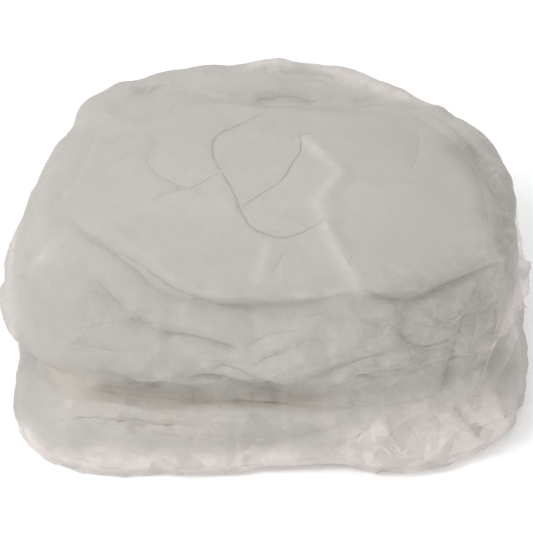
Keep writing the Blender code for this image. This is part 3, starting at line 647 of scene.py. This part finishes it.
def facetHeights(rng, across, along, apart):
    # heights over a plane of flat facets, whose knots are about 1 apart
    size = across / apart[0], along / apart[1]
    counts = [int(part.max() - part.min()) + 5 for part in size]
    knots = np.stack(np.meshgrid(*(np.arange(n) - 2.0 for n in counts), indexing="ij"), axis=-1)
    knots += rng.uniform(-0.45, 0.45, knots.shape) + [part.min() for part in size]
    heights = rng.normal(0, 1, knots.shape[:2])
    faces = []
    for a, b, c, d in gridCorners(*heights.shape):
        faces += [(a, b, c), (a, c, d)] if rng.random() < 0.5 else [(a, b, d), (b, c, d)]
    knots = np.concatenate([knots, heights[..., None]], axis=2)
    tree = BVHTree.FromPolygons(knots.reshape(-1, 3).tolist(), faces)
    down = Vector((0, 0, -1))
    hits = (tree.ray_cast(Vector((u, v, 20)), down)[0] for u, v in zip(size[0].ravel(), size[1].ravel()))
    return np.array([hit[2] if hit else 0 for hit in hits]).reshape(across.shape)


def bentPlaces(rng, angle, run):
    # the cloth's flat places, bent a little so that facets aren't in rows
    flat = [run * np.cos(angle), run * np.sin(angle)]
    return [place + softNoise(rng, 9) * 14 * mm for place in flat]


def awayFromSeam(turned):
    # 0 where a direction begins again and 1 a little away from there
    return smoothStep(np.minimum(turned, 2 * math.pi - turned) / 0.12)


def crumpleHeights(rng, angle, run, shown):
    # facets all over the cloth; long ones lie along the hoop or run down
    total = np.zeros_like(angle)
    for facet in rowsOf(crumples["facetColumns"], crumples["facets"]):
        turn = rng.uniform(0, 2 * math.pi)
        seam = 1
        if facet["hoop"] / facet["down"] > 2 or facet["down"] / facet["hoop"] > 2:
            turned = (angle + turn) % (2 * math.pi)
            seam = awayFromSeam(turned)
            across = turned * crumples["facetRadius"] + softNoise(rng, 12) * 4 * mm
            along = run + softNoise(rng, 8) * 12 * mm
        else:
            x, y = bentPlaces(rng, angle, run)
            across = x * math.cos(turn) + y * math.sin(turn)
            along = y * math.cos(turn) - x * math.sin(turn)
        heights = facetHeights(rng, across, along, (facet["hoop"] * mm, facet["down"] * mm))
        amount = sum(shown[side] * facet[side] for side in shown)
        patches = smoothStep(0.55 + 0.7 * softNoise(rng, 9))
        total += heights * facet["height"] * mm * amount * seam * (0.35 + 0.65 * patches)
    return total


def bentFolds(rng, angle, run, shown):
    # long soft folds with a sharp bottom or crest, where smooth unevenness changes sign
    total = np.zeros_like(angle)
    for bend in rowsOf(crumples["bendColumns"], crumples["bends"]):
        across = angle * crumples["bendRadius"] / (bend["hoop"] * mm)
        along = run / (bend["down"] * mm) + bend["slant"] * across
        across, along = across + 0.5 * softNoise(rng, 9), along + 0.8 * softNoise(rng, 9)
        uneven = wavyTable(rng, across, along)
        where = smoothStep(0.5 + 1.1 * softNoise(rng, 10))
        amount = sum(shown[side] * bend[side] for side in shown)
        total += (abs(uneven) - 0.5) * bend["depth"] * mm * amount * where
    return total * awayFromSeam(angle)


def wavyTable(rng, across, along):
    # smooth unevenness with one bump for each unit of across and along
    table = rng.normal(0, 1, (97, 97))
    i, j = np.floor(across).astype(int), np.floor(along).astype(int)
    s, t = smoothStep(across - i), smoothStep(along - j)
    near = [[table[(i + a) % 97, (j + b) % 97] for b in (0, 1)] for a in (0, 1)]
    return (near[0][0] * (1 - s) + near[1][0] * s) * (1 - t) + (near[0][1] * (1 - s) + near[1][1] * s) * t


def sidesShown(angle, level):
    # how much each point belongs to the crown, or else to the front and left, the right or the back
    crown = smoothStep((2.9 - level) / 1.2)
    right = smoothStep((np.cos(angle - math.radians(345)) - 0.35) / 0.45) * (1 - crown)
    back = smoothStep((np.sin(angle) - 0.1) / 0.5) * (1 - crown) * (1 - right)
    return {"crown": crown, "right": right, "back": back, "front": (1 - crown) * (1 - right) * (1 - back)}


def raiseVeils(rng, cloth, angle, share, radial, hoop):
    thin = np.zeros_like(angle)
    for veil in veils:
        away = share * rimRing - veil["ring"]
        even = np.interp(np.degrees(angle), *zip(*veil["height"]), period=360) * mm
        knots = np.sort(rng.uniform(0, 2 * math.pi, 52))
        knots = np.stack([knots, knots + 0.012], axis=1).ravel()
        jagged, wavy, slid = (np.interp(angle, knots, rng.uniform(-1, 1, len(knots)), period=2 * math.pi)
                              for _ in range(3))
        profile = np.interp(abs(away), (0, 1, 2, 3), (1, 0.66, 0.3, 0))
        slope = np.where(away < 0, np.exp(away / veil["flare"] * 1.4) * smoothStep(2 + away / 12), 0)
        height = np.maximum(even * (1 + veil["uneven"] * jagged), 0)
        out = np.maximum(profile * height, slope * even) - veil["pull"] * even * np.exp(-((away / 8) ** 2))
        cloth += radial * out[..., None]
        cloth[..., 2] += profile * height * (veil["droop"] + 0.35 * wavy)
        cloth += hoop * (profile * slid * 0.25 * height)[..., None]
        beside = np.interp(abs(away), (0, 2, 4), (1, 0.8, 0))
        thin = np.maximum(thin, beside * smoothStep(height / (4 * mm)))
    return thin


def untangled(cloth, normals, angle, radius, thin):
    # smooths the few places where a sharp crease has folded the grid over itself
    ring = radius * rimRing
    ahead = smoothStep((-np.sin(angle) - 0.2) / 0.3)
    beside = sum(np.exp(-(((ring - guide["ring"]) / 4) ** 2)) for guide in (edges[0], veils[1])) * ahead
    onSecond = (abs(np.cos(angle)) > abs(np.sin(angle)))[..., None]  # the hoop runs along the second axis
    for _ in range(8):
        turned = ((outwardNormals(cloth) * normals).sum(axis=2) < 0.2) & (thin < 0.05)
        spread = turned.copy()
        for axis in (0, 1):
            for step in (-1, 1):
                spread |= np.roll(turned, step, axis)
        sides = [(np.roll(cloth, 1, axis) + np.roll(cloth, -1, axis)) / 2 for axis in (0, 1)]
        spread[[0, -1]] = spread[:, [0, -1]] = False
        cloth = np.where(spread[..., None], (sides[0] + sides[1]) / 2, cloth)
        cloth = cloth + (np.where(onSecond, sides[1], sides[0]) - cloth) * (beside * 0.3)[..., None]
    return cloth


def foldedForm(surface, smooth, normals, angle, level):
    # the smooth cap with its large folds
    form = smooth.copy()
    for fold in rowsOf(foldColumns, folds):
        strength = foldStrength(surface, smooth, angle, level, fold)
        form -= normals * (strength * fold["depth"] * mm)[..., None]
    return form


def pressCreases(rng, tree, settled, cloth, normals, crown):
    # presses the photo's creases into the cloth, and gives what the finish draws along them
    seen = placesOnPhoto(settled)
    lineShade, gap, share = np.zeros_like(crown), np.full_like(crown, 4 * mm), np.zeros_like(crown)
    deeper = 1.7 - 0.7 * crown  # off the crown
    for line in rowsOf(lineColumns, lines):
        strength, away = lineStrength(tree, settled, seen, line)
        cloth -= normals * (strength * line["depth"] * mm * deeper)[..., None]
        nearer = abs(away) < abs(gap)
        gap = np.where(nearer, away, gap)
        drawn = (0.35 + line["crisp"]) * math.copysign(1, line["depth"])
        drawn = drawn * strength ** 0.25 * smoothStep(2 - abs(away) / (2 * mm))
        share = np.where(nearer, drawn, share)
        # painted shade along the nearest crease, tinted yellow-green
        lineShade = np.where(nearer, line["lineShade"], lineShade)
    uneven = np.clip(1 + 0.9 * softNoise(rng, 40), 0.2, 1.6)
    share *= 1 + (uneven - 1) * (1 - lineShade)
    return {"lineShade": lineShade, "lineGap": gap / mm, "lineShare": share}


def gatherCloth(rng, cloth, angle, level, hoop):
    # pleats from the foot in to the elastic, and the casing turned round it
    drift = sum(size * np.sin(waves * angle + start) for size, waves, start in gathers["drift"])
    wave = gathers["count"] * angle + drift
    into = np.clip(level - footLevel, 0, 2)
    flatten = 1 - gathers["casingWave"] / gathers["height"]
    swell = smoothStep((into - 0.12) / 0.6) * (1 - flatten * smoothStep((into - 0.72) / 0.28))
    crest = 0.5 + 0.5 * np.cos(wave)
    uneven = 1 + 0.3 * softNoise(rng, 40) * smoothStep((1 - into) / 0.2)
    inGather, inCasing = (level <= neckLevel).astype(float), (level > neckLevel).astype(float)
    cloth[..., 2] += inGather * swell * gathers["height"] * crest * uneven
    cloth += hoop * (swell * gathers["lean"] * np.sin(wave + 0.8))[..., None]
    turned = np.clip(level - neckLevel, 0, 1)
    casing = capForm["casingRadius"]
    outward = cloth - aroundAxis(angle, capForm["neckRadius"] + casing, casing)
    outward /= np.linalg.norm(outward, axis=2, keepdims=True) + 1e-9
    flare = gathers["rimFlare"] * smoothStep((turned - 0.6) / 0.4) * (1 - crest)
    cloth += outward * (inCasing * (flare - gathers["casingWave"] * crest))[..., None]
    cloth[..., 2] = np.maximum(cloth[..., 2], gathers["floorGap"])


def makeCloth():
    surface = CapSurface()
    angle, radius = flatGrid(crumples["grid"])
    level = surface.levelOf(angle, radius)
    smooth = surface.points(angle, level)
    normals = outwardNormals(smooth)
    cloth = foldedForm(surface, smooth, normals, angle, level)
    print("cloth laid over the folded form")

    rng = np.random.default_rng(crumples["seed"])
    radial = aroundAxis(angle, 1, 0)
    hoop = np.stack([-np.sin(angle), np.cos(angle), 0 * angle], axis=-1)
    ungathered = smoothStep((footLevel + 0.2 - level) / 0.6)
    shown = sidesShown(angle, level)
    run = surface.runTo(angle, level)
    heights = crumpleHeights(rng, angle, run, shown) + bentFolds(rng, angle, run, shown)
    cloth += outwardNormals(cloth) * (heights * ungathered)[..., None]
    thin = raiseVeils(rng, cloth, angle, radius, radial, hoop)
    print("facets and thin folds made")

    settled = cloth.copy()
    tree = BVHTree.FromPolygons(settled.reshape(-1, 3).tolist(), gridCorners(*level.shape))
    marks = {mark: 0 * thin for mark in patches}
    # thin veils get painted light; the right side and a little of the front get painted highlights along
    # facet edges
    marks |= {"thin": thin, "paintedLight": thin, "plain": shown["crown"],
              "facetHighlight": shown["right"] + 0.15 * shown["front"]}
    marks |= pressCreases(rng, tree, settled, cloth, normals, shown["crown"])
    for mark, rows in patches.items():
        for patch in rowsOf(patchColumns, rows):
            marks[mark] = np.maximum(marks[mark], patchStrength(tree, settled, patch))
    cloth = untangled(cloth, normals, angle, radius, thin)
    print("creases pressed in")

    gatherCloth(rng, cloth, angle, level, hoop)
    print("cloth gathered on the elastic")
    return cloth, marks


def gridMesh(name, points, marks):
    data = bpy.data.meshes.new(name)
    data.from_pydata(points.reshape(-1, 3).tolist(), [], gridCorners(*points.shape[:2]))
    for mark, values in marks.items():
        layer = data.attributes.new(mark, "FLOAT", "POINT")
        layer.data.foreach_set("value", values.ravel().astype(np.float32))
    data.shade_smooth()
    made = bpy.data.objects.new(name, data)
    bpy.context.scene.collection.objects.link(made)
    return made


class Wire:
    # an output socket that can be used in sums
    def __init__(self, tree, socket):
        self.tree, self.socket = tree, socket

    def sum(self, operation, first, second):
        node = self.tree.nodes.new("ShaderNodeMath")
        node.operation = operation
        for place, value in enumerate((first, second)):
            if isinstance(value, Wire):
                self.tree.links.new(value.socket, node.inputs[place])
            else:
                node.inputs[place].default_value = value
        return Wire(self.tree, node.outputs[0])

    def __add__(self, other):
        return self.sum("ADD", self, other)

    __radd__ = __add__

    def __sub__(self, other):
        return self.sum("SUBTRACT", self, other)

    def __rsub__(self, other):
        return self.sum("SUBTRACT", other, self)

    def __pow__(self, other):
        return self.sum("POWER", self, other)

    def folded(self):
        return self.sum("ABSOLUTE", self, 0.0)

    def __mul__(self, other):
        return self.sum("MULTIPLY", self, other)

    __rmul__ = __mul__


class Finish:
    def __init__(self, name):
        self.material = bpy.data.materials.new(name)
        self.material.use_nodes = True
        self.tree = self.material.node_tree
        self.tree.nodes.clear()

    def add(self, kind, settings=None, output=0, **inputs):
        # an input is named, or _ with its number
        node = self.tree.nodes.new(kind)
        for key, value in (settings or {}).items():
            setattr(node, key, value)
        for key, value in inputs.items():
            socket = node.inputs[int(key[1:]) if key[0] == "_" else key.replace("_", " ")]
            if isinstance(value, Wire):
                self.tree.links.new(value.socket, socket)
            else:
                socket.default_value = value
        return Wire(self.tree, node.outputs[output]) if node.outputs else node

    def vector(self, operation, output=0, **inputs):
        return self.add("ShaderNodeVectorMath", {"operation": operation}, output, **inputs)

    def stretched(self, place, turn, knots):
        turned = self.add("ShaderNodeVectorRotate", {"rotation_type": "Y_AXIS"}, _0=place, Angle=turn)
        return self.vector("MULTIPLY", _0=turned, _1=knots)

    def facets(self, place, turn, knots):
        # one colour for each cell of a pattern
        return self.add("ShaderNodeTexVoronoi", output=1, _0=self.stretched(place, turn, knots), Scale=1.0)

    def seams(self, place, turn, knots):
        # how far a place is from the edges of the same pattern
        bent = self.stretched(place, turn, knots)
        return self.add("ShaderNodeTexVoronoi", {"feature": "DISTANCE_TO_EDGE"}, _0=bent, Scale=1.0)

    def grey(self, colour):
        return self.vector("DOT_PRODUCT", output=1, _0=colour, _1=(1 / 3, 1 / 3, 1 / 3))

    def mixed(self, share, first, second):
        return self.add("ShaderNodeMix", {"data_type": "RGBA"}, output=2, _0=share, _6=first, _7=second)

    def finish(self, surface):
        self.add("ShaderNodeOutputMaterial", Surface=surface)
        return self.material


clothLook = {
    "colour": (0.625, 0.61, 0.583, 1),
    "shade": (0.57, 0.555, 0.53, 1),
    # colour of painted shade, tinted yellow-green, along and in creases
    "lineShadeColour": (0.47, 0.45, 0.32, 1),
    "peachColour": (0.75, 0.635, 0.50, 1),
    # colour of painted light: thin cloth lit from behind, and highlights
    "paintedLightColour": (0.90, 0.825, 0.805, 1),
    # colour of painted shade
    "paintedShadeColour": (0.37, 0.355, 0.33, 1),
    "glow": (0.68, 0.66, 0.635, 1),
    "roughness": 0.85,
    "cloud": {"Scale": 60.0, "Detail": 2.0, "Roughness": 0.6},
    "fibre": {"Scale": 900.0, "Detail": 1.0, "Roughness": 0.7},
    "cloudHeight": 0.25,  # in mm
    "fibreHeight": 0.06,
    # how much each mark of the cloth changes its colour
    "lineShadeShare": 0.8,
    "peachShare": 0.45,
    "paintedShadeShare": 0.8,
    "creaseShadeShare": 0.4,
    "paintedLightLeast": 0.15,
    "paintedLightShare": 1.9,
    # painted highlights along the edges of the facets: how strong and how narrow
    "seamShare": 0.34,
    "seamSharpness": 24.0,
    # painted glow: emission standing in for light that comes through thin cloth
    "shine": 0.17,  # of thin cloth, for the light that comes through it
    "shineShare": 1.6,
    # how solid the cloth is, and how much less or more where it is thin or on the crown
    "solidShare": 0.86,
    "thinShare": 0.48,
    "plainSolid": 0.12,
    "fibreSolid": 0.15,
    "glowShare": 0.42,
    "plainShare": 0.75,  # how much smoother the crown is
    "paintedLightTilt": 0.9,
    "lineWidth": 0.45,
    "lineDepth": 0.3,
    # fine wrinkles: turn about Y, knots for each metre along X, Y and Z, and depth in mm
    "wrinkles": (
        (0.3, (22, 40, 95), 1.4),
        (-0.8, (35, 45, 110), 1.2),
    ),
    # flat facets: turn about Y, knots for each metre along X, Y and Z, and how much they tilt
    "facets": (
        (0.5, (55, 70, 110), 0.30),
        (-0.6, (90, 110, 190), 0.22),
    ),
}
clothMarks = ("lineShade", "thin", "paintedLight", "peach", "creaseShade", "dim", "plain", "facetHighlight", "lineGap", "lineShare")


def wrinkleHeights(look, place, cloud, fibre, rough):
    wrinkled = 0.0
    for turn, knots, depth in clothLook["wrinkles"]:
        bent = look.stretched(place, turn, knots)
        ridge = (look.add("ShaderNodeTexNoise", _0=bent, Scale=1.0, Detail=1.0) - 0.5).folded()
        wrinkled = ridge * -depth * cloud + wrinkled
    return wrinkled * rough + cloud * clothLook["cloudHeight"] + fibre * clothLook["fibreHeight"]


def clothColour(look, place, marks, cloud, line, layers):
    colour = look.mixed(cloud, clothLook["colour"], clothLook["shade"])
    # painted shade along the creases, tinted yellow-green
    colour = look.mixed(marks["lineShade"] * line * clothLook["lineShadeShare"], colour, clothLook["lineShadeColour"])
    colour = look.mixed(marks["peach"] * clothLook["peachShare"], colour, clothLook["peachColour"])
    # painted shade where the cloth is turned from the light, in creases and under edges
    colour = look.mixed(marks["dim"] * clothLook["paintedShadeShare"], colour, clothLook["paintedShadeColour"])
    # painted light: thin cloth lit from behind, and highlights
    paintedLight = marks["paintedLight"] * (layers * clothLook["paintedLightShare"] + clothLook["paintedLightLeast"])
    colour = look.mixed(paintedLight, colour, clothLook["paintedLightColour"])
    # painted shade, tinted yellow-green, in creases and under an edge
    colour = look.mixed(marks["creaseShade"] * clothLook["creaseShadeShare"], colour, clothLook["lineShadeColour"])
    # painted highlights along the edges of the facets
    bright = 0.0  # along the edges of the facets
    for turn, knots, _ in clothLook["facets"]:
        apart = look.seams(place, turn, knots) * clothLook["seamSharpness"]
        bright = bright + cloud * (1 + apart * apart) ** -1.0
    return look.mixed(bright * marks["facetHighlight"] * clothLook["seamShare"], colour, clothLook["paintedLightColour"])


def facetedNormal(look, normal, cells, amount):
    # every facet of the cloth leans its own way
    for cell, (_, _, tilt) in zip(cells, clothLook["facets"]):
        lean = look.vector("SUBTRACT", _0=cell, _1=(0.5, 0.5, 0.5))
        lean = look.vector("SCALE", _0=lean, Scale=amount * tilt)
        normal = look.vector("ADD", _0=normal, _1=lean)
    return look.vector("NORMALIZE", _0=normal)


def clothFinish():
    look = Finish("spunbond cloth")
    place = look.add("ShaderNodeTexCoord", output=3)
    cloud = look.add("ShaderNodeTexNoise", _0=place, **clothLook["cloud"])
    fibre = look.add("ShaderNodeTexNoise", _0=place, **clothLook["fibre"])
    marks = {mark: look.add("ShaderNodeAttribute", {"attribute_name": mark}, output=2)
             for mark in clothMarks}
    across = marks["lineGap"] * (1 / clothLook["lineWidth"])
    line = marks["lineShare"] * (1.0 + across * across) ** -1.0
    cells = [look.facets(place, turn, knots) for turn, knots, _ in clothLook["facets"]]
    layers = look.grey(cells[0]) * 0.5 + look.grey(cells[1]) * 0.5
    colour = clothColour(look, place, marks, cloud, line, layers)
    # painted glow: emission standing in for light that comes through thin cloth
    through = marks["paintedLight"] * layers * clothLook["shineShare"]
    shine = look.mixed(through, (0, 0, 0, 1), clothLook["paintedLightColour"])
    rough = 1 - marks["plain"] * clothLook["plainShare"]
    wrinkled = wrinkleHeights(look, place, cloud, fibre, rough)
    height = wrinkled - line * (across + 1) * clothLook["lineDepth"]
    bump = look.add("ShaderNodeBump", Strength=1.0, Distance=mm, Height=height)
    normal = facetedNormal(look, bump, cells, rough + marks["paintedLight"] * clothLook["paintedLightTilt"])
    front = look.add("ShaderNodeBsdfPrincipled", Base_Color=colour, Roughness=clothLook["roughness"],
                     Normal=normal, Emission_Color=shine, Emission_Strength=clothLook["shine"])
    glow = look.add("ShaderNodeBsdfTranslucent", Color=clothLook["glow"], Normal=normal)
    body = look.add("ShaderNodeMixShader", _0=clothLook["glowShare"], _1=front, _2=glow)
    clear = look.add("ShaderNodeBsdfTransparent")
    solid = clothLook["solidShare"] + marks["plain"] * clothLook["plainSolid"]
    solid = solid + (fibre - 0.5) * clothLook["fibreSolid"]
    solid = solid - marks["thin"] * clothLook["thinShare"] * (layers + 0.5)
    return look.finish(look.add("ShaderNodeMixShader", _0=solid, _1=clear, _2=body))


def elasticFinish():
    look = Finish("covered elastic")
    place = look.add("ShaderNodeTexCoord", output=3)
    yarn = look.add("ShaderNodeTexNoise", _0=place, Scale=1200.0, Detail=2.0)
    colour = look.mixed(yarn, (0.80, 0.78, 0.70, 1), (0.66, 0.64, 0.56, 1))
    bump = look.add("ShaderNodeBump", Strength=0.4, Distance=0.0003, Height=yarn)
    return look.finish(look.add("ShaderNodeBsdfPrincipled", Base_Color=colour, Roughness=0.7, Normal=bump))


def makeStudio():
    scene = bpy.context.scene
    aim = Vector(studio["aim"])
    tilt = math.radians(studio["elevation"])
    lens = bpy.data.cameras.new("camera")
    lens.sensor_width = 36
    lens.lens = 36 * studio["distance"] / studio["framed"]
    camera = bpy.data.objects.new("camera", lens)
    camera.location = aim + studio["distance"] * Vector((0, -math.cos(tilt), math.sin(tilt)))
    camera.rotation_euler = (math.pi / 2 - tilt, 0, 0)
    scene.collection.objects.link(camera)
    scene.camera = camera

    scene.world = bpy.data.worlds.new("studio")
    scene.world.use_nodes = True
    sky = scene.world.node_tree.nodes["Background"]
    sky.inputs["Color"].default_value = (1, 1, 1, 1)
    sky.inputs["Strength"].default_value = studio["world"]
    scene.view_settings.view_transform = "Standard"

    key = bpy.data.lights.new("key", "AREA")
    key.energy, key.shape, key.size = studio["keyPower"], "DISK", studio["keySize"]
    lamp = bpy.data.objects.new("key", key)
    lamp.location = studio["keyPlace"]
    lamp.rotation_euler = (aim - lamp.location).to_track_quat("-Z", "Y").to_euler()
    scene.collection.objects.link(lamp)

    bpy.ops.mesh.primitive_plane_add(size=6)
    floor = bpy.context.object
    floor.name = "floor"
    look = Finish("paper")
    paper = look.add("ShaderNodeBsdfPrincipled", Base_Color=studio["floor"], Roughness=0.9)
    floor.data.materials.append(look.finish(paper))
    print("studio set")


def main():
    makeStudio()
    points, marks = makeCloth()
    cloth = gridMesh("crown_cloth", points, marks)
    cloth.data.materials.append(clothFinish())
    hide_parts("crown")
    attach(cloth, "root")
    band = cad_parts["elastic_band"]
    band.data.materials.clear()
    band.data.materials.append(elasticFinish())
    print("cap dressed")


main()
